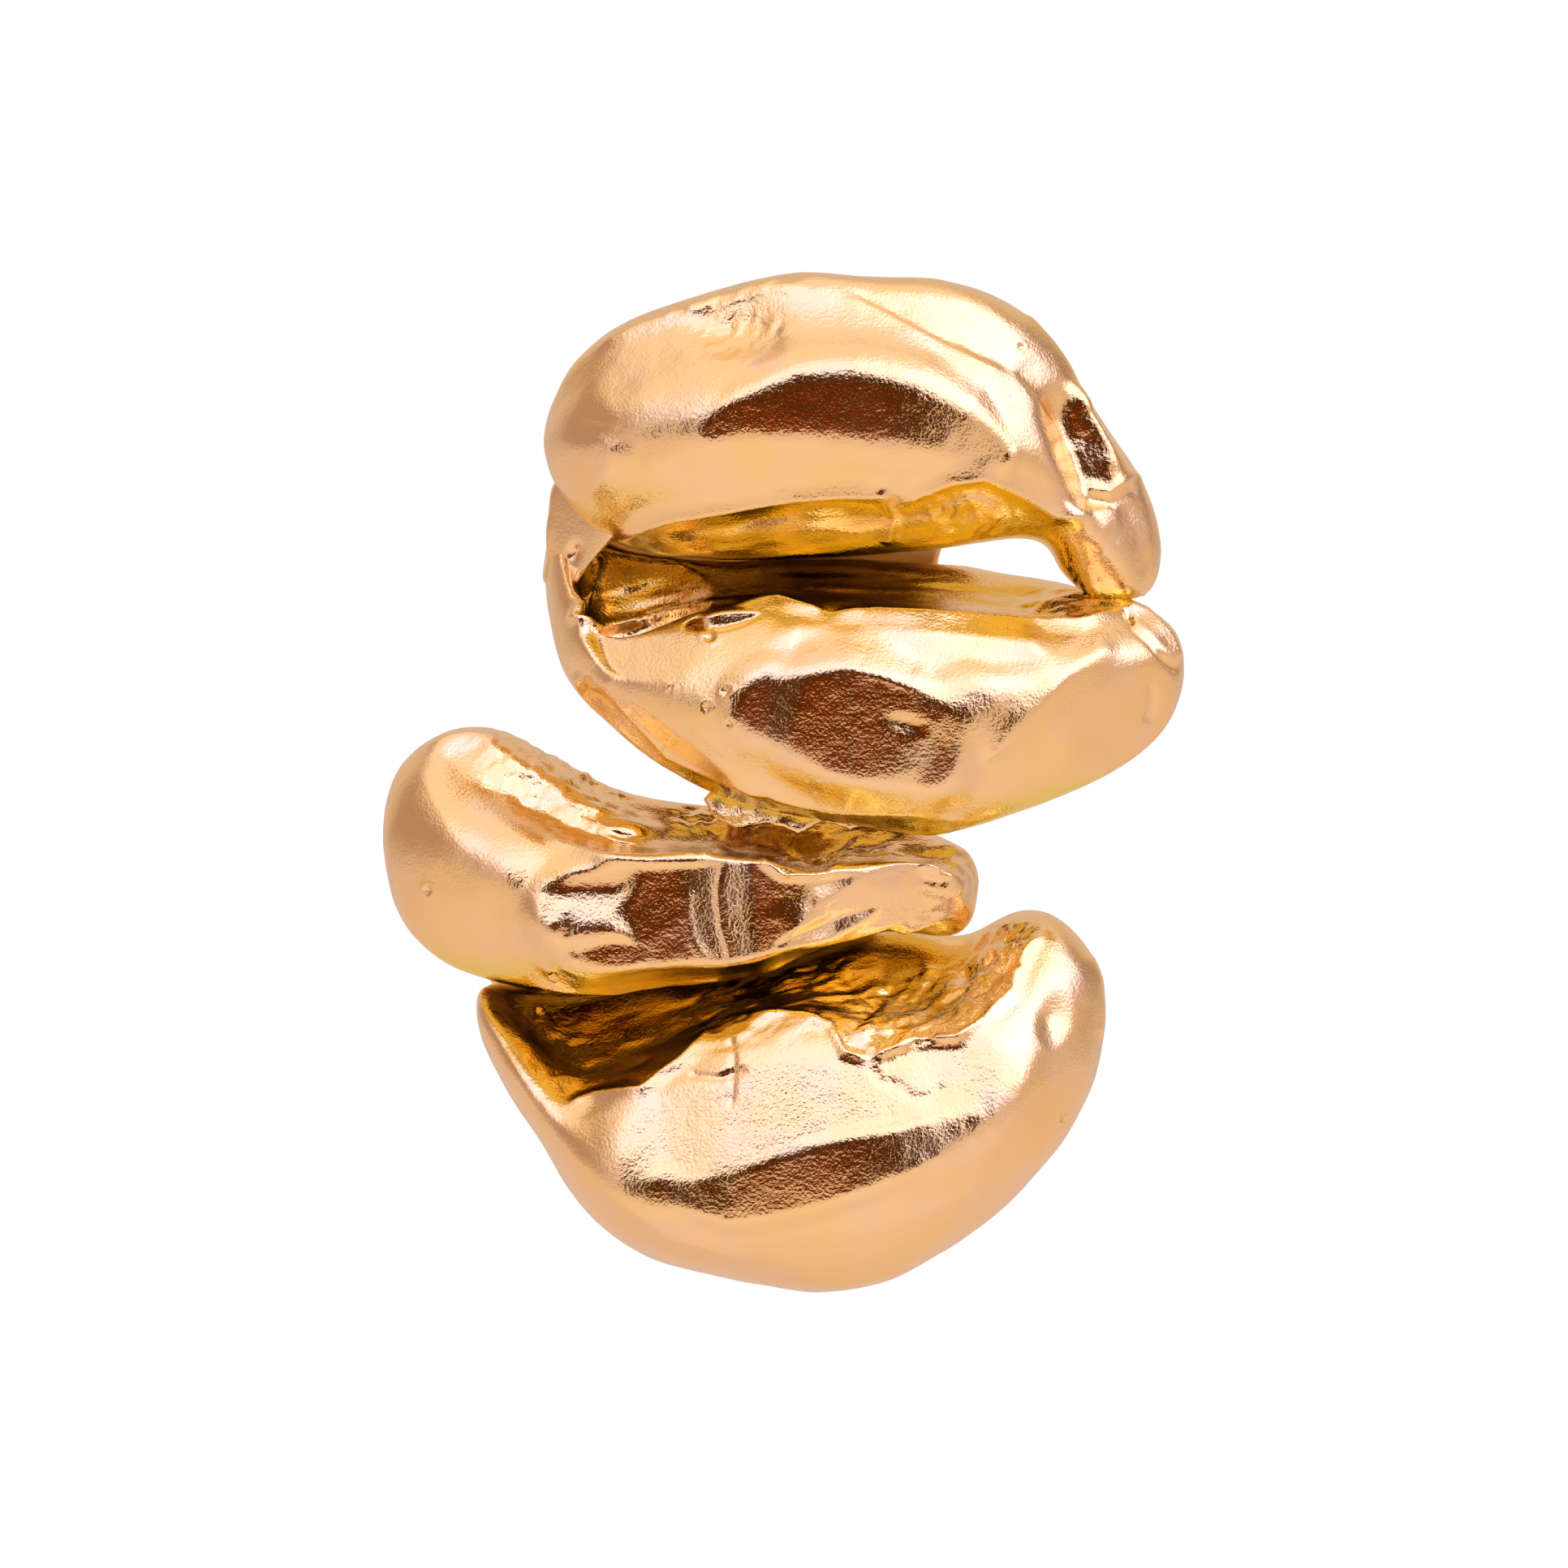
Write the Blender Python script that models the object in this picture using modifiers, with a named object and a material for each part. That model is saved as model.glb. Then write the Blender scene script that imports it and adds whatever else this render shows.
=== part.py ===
"""A sculptural drop earring: four puffy hollow-cast lobes in two pairs, one pair hanging below the other.

The upper pair is soldered to a back plate that carries the ear post. The lower pair has a back plate
of its own and swings on a pin that is hidden behind the second lobe's lower lip. A butterfly clutch
with a comfort disc holds the earring on the ear.

Frame: +Z up, +X to the viewer's right, the front faces -Y. The origin is where the ear post leaves its
pad, so y = 0 is the plane that rests on the ear. Tables are in millimetres.
"""

import math
from collections import namedtuple

import bmesh
import bpy
import numpy as np
from mathutils import Matrix, Vector

MM = 0.001

# Driving dimensions, in millimetres.
WALL = 0.5  # thickness of the cast shells
GAP = 0.3  # left between pieces that are soldered together
PAD_THICKNESS = 1.0
PLATE_THICKNESS = 0.6
PLATE_REAR = -PAD_THICKNESS - GAP
PLATE_FRONT = PLATE_REAR - PLATE_THICKNESS
SHELL_REAR = PLATE_FRONT - GAP  # the flat backs of the lobes lie in this plane

RINGS_PER_SPAN = 1
POINTS_PER_SPAN = 3

# The hinge, on a pin along X: two lugs on the upper drop and a knuckle on the lower one. Its axis is over
# the lower drop's centre of mass, so that the lower drop hangs plumb.
HINGE_X = -2.4
HINGE_Y = -7.3
HINGE_Z = -24.6
PIN_RADIUS = 0.4
PIN_HEAD_RADIUS = 0.7
PIN_HEAD_THICKNESS = 0.4
EYE_RADIUS = 0.8
EYE_HOLE_RADIUS = 0.5
NECK_HALF = 0.45  # half the width of the neck that joins an eye to its lobe
LUG_THICKNESS = 0.8
LUG_HEIGHT = 0.9  # from the pin's axis up to the lug's top
KNUCKLE_WIDTH = 2.0
KNUCKLE_DEPTH = 0.85  # from the pin's axis down to the knuckle's foot

# The ear post and what holds it.
POST_RADIUS = 0.5
POST_LENGTH = 11.0
POST_PAD_RADIUS = 2.6
POST_GROOVE_AT = 9.2
POST_GROOVE_DEPTH = 0.14
POST_GROOVE_HALF = 0.35
EARLOBE_THICKNESS = 5.0
DISC_RADIUS = 4.6
DISC_THICKNESS = 1.0
DISC_EDGE_RADIUS = 0.35
DISC_HOLE_RADIUS = 0.6
CLUTCH_STRIP = 0.35
CLUTCH_WIDTH = 3.4
CLUTCH_BASE_HALF = 1.95
CLUTCH_CURL_RADIUS = 1.15
CLUTCH_CURL_TURN = 300.0  # degrees that each end of the strip curls through
CLUTCH_HOLE_RADIUS = 0.6
CLUTCH_CURL_TIGHTENING = 0.25

ROUND_STEPS = 24
PLATE_STEPS = 3

# One cross-section of a lobe: its top and bottom points, the depths that its front and back reach, how far
# down its ridge and its crest lie (0 at the top, 1 at the bottom), and how far the surface behind the ridge
# dips below a straight line.
Station = namedtuple("Station", "top bottom front back ridge crest dip")

# Where each lobe's cross-section lies in depth: shares of the way from its back to its front.
Profile = namedtuple("Profile", "top ridge keel bottom back_top back_bottom keel_at")

TOP_LOBE = [
    Station((-16.65, -2.2), (-16.65, -2.3), -8.5, -8.0, 0.15, 0.50, 0.0),
    Station((-16.40, -0.6), (-16.40, -3.6), -10.5, -6.0, 0.15, 0.50, 0.0),
    Station((-15.50, 1.6), (-15.80, -5.2), -12.6, -4.2, 0.15, 0.50, 0.0),
    Station((-13.90, 3.6), (-14.40, -7.2), -14.6, -2.8, 0.15, 0.50, 0.0),
    Station((-11.50, 5.2), (-11.90, -8.8), -16.0, -2.2, 0.15, 0.48, 0.0),
    Station((-8.00, 6.5), (-8.00, -9.6), -17.0, -2.2, 0.15, 0.47, 0.0),
    Station((-4.50, 7.6), (-4.50, -9.6), -17.5, -2.2, 0.15, 0.46, 0.0),
    Station((-0.75, 8.2), (-0.75, -9.6), -17.6, -2.2, 0.14, 0.44, 0.0),
    Station((3.00, 7.8), (3.00, -9.5), -17.5, -2.2, 0.13, 0.45, 0.0),
    Station((7.00, 8.0), (6.50, -9.2), -17.2, -2.2, 0.16, 0.50, 0.0),
    Station((10.50, 7.4), (9.50, -8.9), -16.6, -2.2, 0.22, 0.56, 0.0),
    Station((13.75, 5.5), (12.00, -8.3), -15.4, -2.2, 0.26, 0.60, 0.0),
    Station((16.25, 2.2), (14.00, -8.3), -13.8, -2.2, 0.28, 0.60, 0.0),
    Station((18.75, -1.8), (14.90, -9.0), -12.4, -2.4, 0.28, 0.58, 0.0),
    Station((20.90, -4.9), (15.20, -10.0), -11.4, -2.8, 0.26, 0.55, 0.0),
    Station((21.80, -8.2), (16.30, -10.7), -10.4, -3.2, 0.25, 0.50, 0.0),
    Station((21.40, -10.4), (18.90, -11.2), -9.0, -3.8, 0.25, 0.50, 0.0),
    Station((20.80, -11.5), (20.60, -11.6), -6.9, -5.9, 0.25, 0.50, 0.0),
]
TOP_PROFILE = Profile(0.45, 0.76, 0.88, 0.50, 0.12, 0.78, 0.55)

SECOND_LOBE = [
    Station((-16.70, -10.5), (-16.75, -10.6), -6.5, -6.0, 0.20, 0.50, 0.0),
    Station((-15.90, -6.5), (-16.50, -12.8), -8.4, -3.8, 0.20, 0.55, 0.0),
    Station((-13.30, -7.8), (-15.80, -15.2), -11.5, -2.6, 0.32, 0.62, 0.6),
    Station((-11.80, -8.5), (-15.00, -17.2), -13.4, -2.2, 0.60, 0.74, 2.2),
    Station((-10.20, -8.9), (-12.20, -20.2), -15.2, -2.2, 0.46, 0.68, 2.2),
    Station((-8.00, -9.1), (-8.80, -22.8), -16.6, -2.2, 0.30, 0.62, 1.6),
    Station((-5.50, -9.3), (-5.00, -24.7), -17.4, -2.2, 0.22, 0.60, 0.7),
    Station((-2.00, -9.3), (-1.00, -25.4), -17.9, -2.2, 0.20, 0.60, 0.5),
    Station((2.00, -9.3), (3.00, -26.0), -18.0, -2.2, 0.23, 0.60, 0.4),
    Station((6.00, -9.4), (7.00, -26.8), -17.8, -2.2, 0.22, 0.60, 0.3),
    Station((9.25, -9.6), (9.85, -26.5), -17.2, -2.2, 0.24, 0.54, 0.2),
    Station((12.75, -10.2), (13.40, -25.3), -16.2, -2.2, 0.25, 0.46, 0.1),
    Station((15.80, -10.8), (16.90, -23.6), -14.8, -2.2, 0.22, 0.40, 0.0),
    Station((18.50, -11.4), (20.20, -21.9), -13.0, -2.4, 0.18, 0.36, 0.0),
    Station((21.20, -12.5), (22.30, -19.7), -11.0, -3.2, 0.14, 0.40, 0.0),
    Station((22.60, -13.6), (23.00, -17.2), -8.8, -4.6, 0.20, 0.50, 0.0),
    Station((23.10, -15.3), (23.10, -15.4), -6.9, -6.4, 0.20, 0.50, 0.0),
]
SECOND_PROFILE = Profile(0.14, 0.80, 0.90, 0.64, 0.10, 0.57, 0.62)

THIRD_LOBE = [
    Station((-26.40, -26.9), (-26.40, -27.0), -8.0, -7.5, 0.30, 0.50, 0.0),
    Station((-26.20, -24.2), (-26.00, -30.0), -10.0, -5.0, 0.25, 0.50, 0.0),
    Station((-25.40, -22.2), (-25.00, -32.6), -11.8, -3.4, 0.22, 0.50, 0.0),
    Station((-23.75, -20.5), (-22.75, -34.7), -13.4, -2.4, 0.24, 0.50, 0.0),
    Station((-21.00, -19.2), (-20.00, -35.6), -14.6, -2.2, 0.30, 0.54, 0.0),
    Station((-17.75, -20.0), (-17.00, -36.4), -15.6, -2.2, 0.35, 0.60, 0.3),
    Station((-14.75, -22.1), (-14.25, -36.6), -16.2, -2.2, 0.33, 0.64, 0.3),
    Station((-11.50, -23.9), (-11.25, -35.7), -16.4, -2.2, 0.31, 0.64, 0.3),
    Station((-7.50, -24.3), (-7.75, -35.4), -16.2, -2.2, 0.30, 0.62, 0.9),
    Station((-4.00, -24.5), (-4.75, -35.4), -15.6, -2.2, 0.28, 0.60, 1.3),
    Station((-0.50, -24.7), (-1.25, -34.4), -14.8, -2.2, 0.40, 0.66, 1.3),
    Station((3.00, -25.1), (2.25, -33.1), -14.0, -2.2, 0.34, 0.64, 0.9),
    Station((6.00, -25.8), (5.50, -32.3), -13.0, -2.4, 0.28, 0.60, 0.3),
    Station((8.50, -26.6), (8.00, -31.4), -11.6, -3.2, 0.25, 0.50, 0.0),
    Station((9.70, -27.7), (9.60, -30.4), -9.8, -5.0, 0.25, 0.50, 0.0),
    Station((10.15, -29.0), (10.15, -29.1), -7.7, -7.2, 0.25, 0.50, 0.0),
]
THIRD_PROFILE = Profile(0.20, 0.86, 0.90, 0.62, 0.12, 0.70, 0.62)

FOURTH_LOBE = [
    Station((-20.60, -36.4), (-20.60, -36.5), -8.0, -7.5, 0.40, 0.60, 0.0),
    Station((-20.20, -35.6), (-20.50, -38.3), -9.4, -5.0, 0.40, 0.62, 0.0),
    Station((-18.60, -35.9), (-19.70, -40.5), -11.2, -3.2, 0.42, 0.66, 0.3),
    Station((-16.50, -35.9), (-18.40, -42.8), -12.8, -2.4, 0.52, 0.76, 0.8),
    Station((-14.00, -35.6), (-16.40, -45.6), -14.4, -2.2, 0.60, 0.80, 1.2),
    Station((-11.25, -34.9), (-14.40, -48.9), -15.8, -2.2, 0.54, 0.78, 1.2),
    Station((-8.25, -34.5), (-11.75, -51.7), -17.0, -2.2, 0.38, 0.78, 0.8),
    Station((-5.00, -34.5), (-7.75, -53.4), -17.8, -2.2, 0.23, 0.78, 0.4),
    Station((-1.75, -33.9), (-3.25, -54.2), -18.2, -2.2, 0.20, 0.72, 0.4),
    Station((1.50, -32.7), (2.00, -54.8), -18.2, -2.2, 0.27, 0.66, 0.4),
    Station((4.50, -32.1), (6.50, -53.4), -17.8, -2.2, 0.33, 0.67, 0.4),
    Station((7.25, -32.3), (10.50, -50.7), -17.0, -2.2, 0.35, 0.65, 0.4),
    Station((9.50, -32.9), (13.60, -48.0), -15.8, -2.2, 0.28, 0.60, 0.2),
    Station((11.25, -31.9), (15.90, -44.9), -14.2, -2.4, 0.27, 0.54, 0.0),
    Station((13.10, -31.0), (17.50, -41.7), -12.4, -2.8, 0.20, 0.50, 0.0),
    Station((15.00, -31.2), (18.15, -38.5), -10.8, -3.6, 0.18, 0.50, 0.0),
    Station((16.65, -32.8), (18.20, -35.9), -9.2, -5.0, 0.18, 0.50, 0.0),
    Station((17.70, -34.2), (17.70, -34.3), -7.2, -6.7, 0.18, 0.50, 0.0),
]
FOURTH_PROFILE = Profile(0.16, 0.84, 0.90, 0.50, 0.10, 0.86, 0.60)

# Outlines of the back plates, in X and Z.
UPPER_PLATE = [
    (-12.6, -2.0), (-11.2, 2.8), (-8.0, 5.0), (-3.0, 6.2), (4.0, 6.4), (10.2, 5.9), (13.4, 0.5),
    (11.6, -5.0), (8.2, -8.4), (8.2, -11.4), (12.4, -13.4), (13.2, -17.6), (10.4, -21.2), (4.0, -21.8),
    (-2.0, -21.2), (-7.6, -19.2), (-11.2, -15.6), (-13.0, -10.6), (-13.2, -6.4),
]
LOWER_PLATE = [
    (-23.4, -26.0), (-20.8, -21.7), (-17.6, -21.2), (-14.6, -23.0), (-11.3, -24.7), (-7.5, -25.1),
    (-2.0, -25.4), (1.6, -26.6), (3.6, -30.2), (5.6, -33.0), (9.0, -34.0), (13.4, -33.6), (15.4, -38.6),
    (14.4, -43.6), (11.4, -48.4), (6.8, -51.4), (1.6, -52.6), (-3.6, -52.2), (-8.4, -50.9), (-12.2, -48.8),
    (-15.0, -45.6), (-17.0, -41.6), (-18.6, -37.4), (-22.6, -31.6),
]


def clear_scene():
    for thing in list(bpy.data.objects):
        bpy.data.objects.remove(thing)


def new_collection(name):
    collection = bpy.data.collections.new(name)
    bpy.context.scene.collection.children.link(collection)
    return collection


def material(name, colour, roughness, metallic, transmission=0.0):
    made = bpy.data.materials.new(name)
    made.use_nodes = True
    shader = made.node_tree.nodes["Principled BSDF"]
    shader.inputs["Base Color"].default_value = (*colour, 1.0)
    shader.inputs["Roughness"].default_value = roughness
    shader.inputs["Metallic"].default_value = metallic
    shader.inputs["Transmission Weight"].default_value = transmission
    return made


def add_object(name, mesh, collection, look):
    thing = bpy.data.objects.new(name, mesh)
    collection.objects.link(thing)
    mesh.materials.append(look)
    return thing


def mesh_from(bm, name):
    mesh = bpy.data.meshes.new(name)
    bm.to_mesh(mesh)
    bm.free()
    return mesh


def smooth_span(p0, p1, p2, p3, steps):
    """Points on a centripetal Catmull-Rom curve, from p1 up to but not including p2."""
    knots = [0.0]
    for a, b in ((p0, p1), (p1, p2), (p2, p3)):
        knots.append(knots[-1] + max(np.linalg.norm(b - a), 1e-3) ** 0.5)
    t0, t1, t2, t3 = knots
    points = []
    for step in range(steps):
        t = t1 + (t2 - t1) * step / steps
        a1 = (t1 - t) / (t1 - t0) * p0 + (t - t0) / (t1 - t0) * p1
        a2 = (t2 - t) / (t2 - t1) * p1 + (t - t1) / (t2 - t1) * p2
        a3 = (t3 - t) / (t3 - t2) * p2 + (t - t2) / (t3 - t2) * p3
        b1 = (t2 - t) / (t2 - t0) * a1 + (t - t0) / (t2 - t0) * a2
        b2 = (t3 - t) / (t3 - t1) * a2 + (t - t1) / (t3 - t1) * a3
        points.append((t2 - t) / (t2 - t1) * b1 + (t - t1) / (t2 - t1) * b2)
    return points


def smooth_path(points, steps, closed):
    """A smooth curve through the points, with this many steps from each to the next."""
    points = [np.array(p, float) for p in points]
    if closed:
        padded = [points[-1], *points, points[0], points[1]]
    else:
        padded = [2 * points[0] - points[1], *points, 2 * points[-1] - points[-2]]
    path = []
    for i in range(len(padded) - 3):
        path += smooth_span(*padded[i:i + 4], steps)
    return path if closed else [*path, points[-1]]


def section(station, profile):
    """The eight points that a cross-section's outline passes through, from the top round the front."""
    top, bottom = np.array(station.top), np.array(station.bottom)

    def point(down, forward):
        x, z = top + (bottom - top) * down
        y = station.back + (station.front - station.back) * forward
        return np.array([x, y, z])

    shelf = (point(0.0, profile.top) + point(station.ridge, profile.ridge)) / 2
    if station.dip > 0:
        shelf[2] -= station.dip
    else:
        shelf += np.array([0.0, -0.06, 0.05]) * np.linalg.norm(bottom - top)
    keel = station.crest + (1 - station.crest) * profile.keel_at
    return [
        point(0.0, profile.top),
        shelf,
        point(station.ridge, profile.ridge),
        point(station.crest, 1.0),
        point(keel, profile.keel),
        point(1.0, profile.bottom),
        point(profile.back_bottom, 0.0),
        point(profile.back_top, 0.0),
    ]


def lobe_rings(stations, profile):
    """The lobe's cross-sections from end to end, each a closed ring of points, smooth along and around."""
    sections = [section(station, profile) for station in stations]
    rails = [smooth_path(rail, RINGS_PER_SPAN, closed=False) for rail in zip(*sections)]
    rings = [smooth_path(ring, POINTS_PER_SPAN, closed=True) for ring in zip(*rails)]
    for ring in rings:
        for point in ring:
            point[1] = min(point[1], SHELL_REAR)
    return rings


def lobe_shell(name, stations, profile, window, collection, look):
    """A hollow lobe: a loft closed to a point at both ends, open in the middle of its back."""
    rings = lobe_rings(stations, profile)
    around = len(rings[0])
    bm = bmesh.new()
    first = bm.verts.new(Vector(np.mean(rings[0], axis=0)) * MM)
    last = bm.verts.new(Vector(np.mean(rings[-1], axis=0)) * MM)
    grid = [[bm.verts.new(Vector(point) * MM) for point in ring] for ring in rings[1:-1]]
    window_points = range(6 * POINTS_PER_SPAN, 7 * POINTS_PER_SPAN)
    for j in range(around):
        k = (j + 1) % around
        bm.faces.new((first, grid[0][j], grid[0][k]))
        bm.faces.new((last, grid[-1][k], grid[-1][j]))
        for i in range(len(grid) - 1):
            if j in window_points and window[0] <= i < window[1]:
                continue
            bm.faces.new((grid[i][j], grid[i + 1][j], grid[i + 1][k], grid[i][k]))
    bmesh.ops.recalc_face_normals(bm, faces=bm.faces)
    thing = add_object(name, mesh_from(bm, name), collection, look)
    wall = thing.modifiers.new("wall", "SOLIDIFY")
    wall.thickness = WALL * MM
    wall.offset = -1.0
    thing.data.shade_smooth()
    return thing


def flat_piece(name, outlines, thickness, place, collection, look):
    """A flat piece with smooth outlines: the first is its edge and any others are its holes."""
    curve = bpy.data.curves.new(name, "CURVE")
    curve.dimensions = "2D"
    curve.fill_mode = "BOTH"
    curve.extrude = thickness * MM / 2
    for points in outlines:
        spline = curve.splines.new("POLY")
        spline.points.add(len(points) - 1)
        spline.use_cyclic_u = True
        for spot, (x, y) in zip(spline.points, points):
            spot.co = (x * MM, y * MM, 0.0, 1.0)
    thing = bpy.data.objects.new(name, curve)
    collection.objects.link(thing)
    curve.materials.append(look)
    thing.matrix_world = place
    return thing


def back_plate(name, corners, collection, look):
    """A flat sheet across the backs of two lobes, with a smooth outline through its corners."""
    outline = smooth_path(corners, PLATE_STEPS, closed=True)
    middle = (PLATE_REAR + PLATE_FRONT) / 2 * MM
    place = Matrix.Translation((0.0, middle, 0.0)) @ Matrix.Rotation(math.radians(90), 4, "X")
    return flat_piece(name, [outline], PLATE_THICKNESS, place, collection, look)


def arc(centre, radius, start, end, steps):
    """Points along an arc from one angle to the other, in degrees."""
    angles = [math.radians(start + (end - start) * i / steps) for i in range(steps + 1)]
    return [(centre[0] + radius * math.cos(a), centre[1] + radius * math.sin(a)) for a in angles]


def hinge_leaf(name, x, width, reach, collection, look):
    """An eye round the pin with a neck that reaches up, or down where the reach is negative."""
    up = 90.0 if reach > 0 else -90.0
    spread = math.degrees(math.asin(NECK_HALF / EYE_RADIUS))
    eye = arc((0.0, 0.0), EYE_RADIUS, up + spread, up + 360.0 - spread, ROUND_STEPS)
    outline = [*eye, (eye[-1][0], reach), (eye[0][0], reach)]
    hole = arc((0.0, 0.0), EYE_HOLE_RADIUS, 0.0, 360.0, ROUND_STEPS)[:-1]
    across = Matrix(((0, 0, 1, 0), (1, 0, 0, 0), (0, 1, 0, 0), (0, 0, 0, 1)))
    place = Matrix.Translation(Vector((x, HINGE_Y, HINGE_Z)) * MM) @ across
    return flat_piece(name, [outline, hole], width, place, collection, look)


def turned_piece(name, profile, place, collection, look, closed=False):
    """A profile of radii and heights, from top to bottom, turned round the place's own Z."""
    bm = bmesh.new()
    spots = [bm.verts.new((radius * MM, 0.0, height * MM)) for radius, height in profile]
    for a, b in zip(spots, spots[1:] + spots[:1] if closed else spots[1:]):
        bm.edges.new((a, b))
    thing = add_object(name, mesh_from(bm, name), collection, look)
    thing.matrix_world = place
    turn = thing.modifiers.new("turn", "SCREW")
    turn.steps = turn.render_steps = ROUND_STEPS
    turn.use_merge_vertices = True
    turn.merge_threshold = 1e-6
    turn.use_normal_calculate = False
    return thing


def ear_post(collection, look):
    """The post with its pad: a turned piece with a rounded tip and a groove that the clutch snaps into."""
    waist = POST_RADIUS - POST_GROOVE_DEPTH
    tip = arc((0.0, POST_LENGTH - POST_RADIUS), POST_RADIUS, 90.0, 0.0, ROUND_STEPS // 6)
    groove = [
        (POST_RADIUS, POST_GROOVE_AT + POST_GROOVE_HALF),
        (waist, POST_GROOVE_AT),
        (POST_RADIUS, POST_GROOVE_AT - POST_GROOVE_HALF),
    ]
    pad = [
        (POST_RADIUS, 0.0),
        (POST_PAD_RADIUS, 0.0),
        (POST_PAD_RADIUS, -PAD_THICKNESS),
        (0.0, -PAD_THICKNESS),
    ]
    backwards = Matrix.Rotation(math.radians(-90), 4, "X")
    return turned_piece("ear_post", [*tip, *groove, *pad], backwards, collection, look)


def hinge_pin(collection, look):
    """A riveted pin through both lugs and the knuckle, with a head at each end."""
    half = KNUCKLE_WIDTH / 2 + GAP + LUG_THICKNESS + GAP
    end = half + PIN_HEAD_THICKNESS
    profile = [
        (0.0, end),
        (PIN_HEAD_RADIUS * 0.7, end),
        (PIN_HEAD_RADIUS, half + PIN_HEAD_THICKNESS * 0.4),
        (PIN_HEAD_RADIUS, half),
        (PIN_RADIUS, half),
    ]
    profile += [(radius, -height) for radius, height in reversed(profile)]
    sideways = Matrix.Rotation(math.radians(90), 4, "Y")
    place = Matrix.Translation(Vector((HINGE_X, HINGE_Y, HINGE_Z)) * MM) @ sideways
    return turned_piece("hinge_pin", profile, place, collection, look)


def clutch_disc(collection, look):
    """A comfort disc with a rounded rim and a hole for the post."""
    top = DISC_THICKNESS / 2
    inner = top - DISC_EDGE_RADIUS
    rim = DISC_RADIUS - DISC_EDGE_RADIUS
    steps = ROUND_STEPS // 6
    edge = arc((rim, inner), DISC_EDGE_RADIUS, 90.0, 0.0, steps)
    edge += arc((rim, -inner), DISC_EDGE_RADIUS, 0.0, -90.0, steps)
    profile = [(DISC_HOLE_RADIUS, top), *edge, (DISC_HOLE_RADIUS, -top)]
    place = Matrix.Translation((0.0, (EARLOBE_THICKNESS + top) * MM, 0.0))
    place = place @ Matrix.Rotation(math.radians(-90), 4, "X")
    return turned_piece("clutch_disc", profile, place, collection, look, closed=True)


def cutter_cylinder(name, radius, depth, place, collection):
    bm = bmesh.new()
    bmesh.ops.create_cone(
        bm, cap_ends=True, segments=ROUND_STEPS, radius1=radius * MM, radius2=radius * MM, depth=depth * MM
    )
    thing = bpy.data.objects.new(name, mesh_from(bm, name))
    collection.objects.link(thing)
    thing.matrix_world = place
    thing.hide_render = True
    thing.display_type = "WIRE"
    return thing


def clutch_scroll(collection, cutters, look):
    """A butterfly clutch: one strip with a hole in its middle and both ends curled back to the post."""
    curl = arc((CLUTCH_BASE_HALF, CLUTCH_CURL_RADIUS), CLUTCH_CURL_RADIUS, -90.0, 90.0, ROUND_STEPS // 2)
    for i in range(1, ROUND_STEPS // 2 + 1):
        share = i / (ROUND_STEPS // 2)
        angle = math.radians(90.0 + (CLUTCH_CURL_TURN - 180.0) * share)
        radius = CLUTCH_CURL_RADIUS * (1.0 - CLUTCH_CURL_TIGHTENING * share)
        across = CLUTCH_BASE_HALF + radius * math.cos(angle)
        curl.append((across, CLUTCH_CURL_RADIUS + radius * math.sin(angle)))
    strip = [(-x, y) for x, y in reversed(curl)] + curl
    bm = bmesh.new()
    half = CLUTCH_WIDTH / 2
    rows = [[bm.verts.new((x * MM, y * MM, side * half * MM)) for x, y in strip] for side in (-1, 1)]
    for i in range(len(strip) - 1):
        bm.faces.new((rows[0][i], rows[0][i + 1], rows[1][i + 1], rows[1][i]))
    thing = add_object("clutch_scroll", mesh_from(bm, "clutch_scroll"), collection, look)
    base = EARLOBE_THICKNESS + DISC_THICKNESS + GAP
    thing.location = (0.0, base * MM, 0.0)
    wall = thing.modifiers.new("wall", "SOLIDIFY")
    wall.thickness = CLUTCH_STRIP * MM
    wall.offset = -1.0
    place = Matrix.Translation((0.0, base * MM, 0.0)) @ Matrix.Rotation(math.radians(90), 4, "X")
    drill = cutter_cylinder("clutch_drill", CLUTCH_HOLE_RADIUS, 2.0, place, cutters)
    hole = thing.modifiers.new("hole", "BOOLEAN")
    hole.object = drill
    return thing


def main():
    clear_scene()
    earring = new_collection("sculptural_drop_earring")
    cutters = new_collection("cutters")
    gold = material("polished_gold", (1.0, 0.70, 0.38), 0.12, 1.0)
    plate_gold = material("brushed_plate_gold", (0.96, 0.68, 0.36), 0.28, 1.0)
    hinge_gold = material("hinge_gold", (0.92, 0.64, 0.34), 0.22, 1.0)
    steel = material("post_steel_gold", (0.98, 0.74, 0.42), 0.10, 1.0)
    silicone = material("clear_silicone", (0.93, 0.93, 0.90), 0.35, 0.0, transmission=0.5)

    lobe_shell("top_lobe_shell", TOP_LOBE, TOP_PROFILE, (4, 9), earring, gold)
    lobe_shell("second_lobe_shell", SECOND_LOBE, SECOND_PROFILE, (4, 9), earring, gold)
    back_plate("upper_back_plate", UPPER_PLATE, earring, plate_gold)
    ear_post(earring, steel)
    lug_offset = KNUCKLE_WIDTH / 2 + GAP + LUG_THICKNESS / 2
    hinge_leaf("hinge_lug_left", HINGE_X - lug_offset, LUG_THICKNESS, LUG_HEIGHT, earring, hinge_gold)
    hinge_leaf("hinge_lug_right", HINGE_X + lug_offset, LUG_THICKNESS, LUG_HEIGHT, earring, hinge_gold)
    hinge_pin(earring, hinge_gold)

    lobe_shell("third_lobe_shell", THIRD_LOBE, THIRD_PROFILE, (4, 9), earring, gold)
    lobe_shell("fourth_lobe_shell", FOURTH_LOBE, FOURTH_PROFILE, (4, 10), earring, gold)
    back_plate("lower_back_plate", LOWER_PLATE, earring, plate_gold)
    hinge_leaf("hinge_knuckle", HINGE_X, KNUCKLE_WIDTH, -KNUCKLE_DEPTH, earring, hinge_gold)

    clutch_disc(earring, silicone)
    clutch_scroll(earring, cutters, steel)


main()
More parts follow.
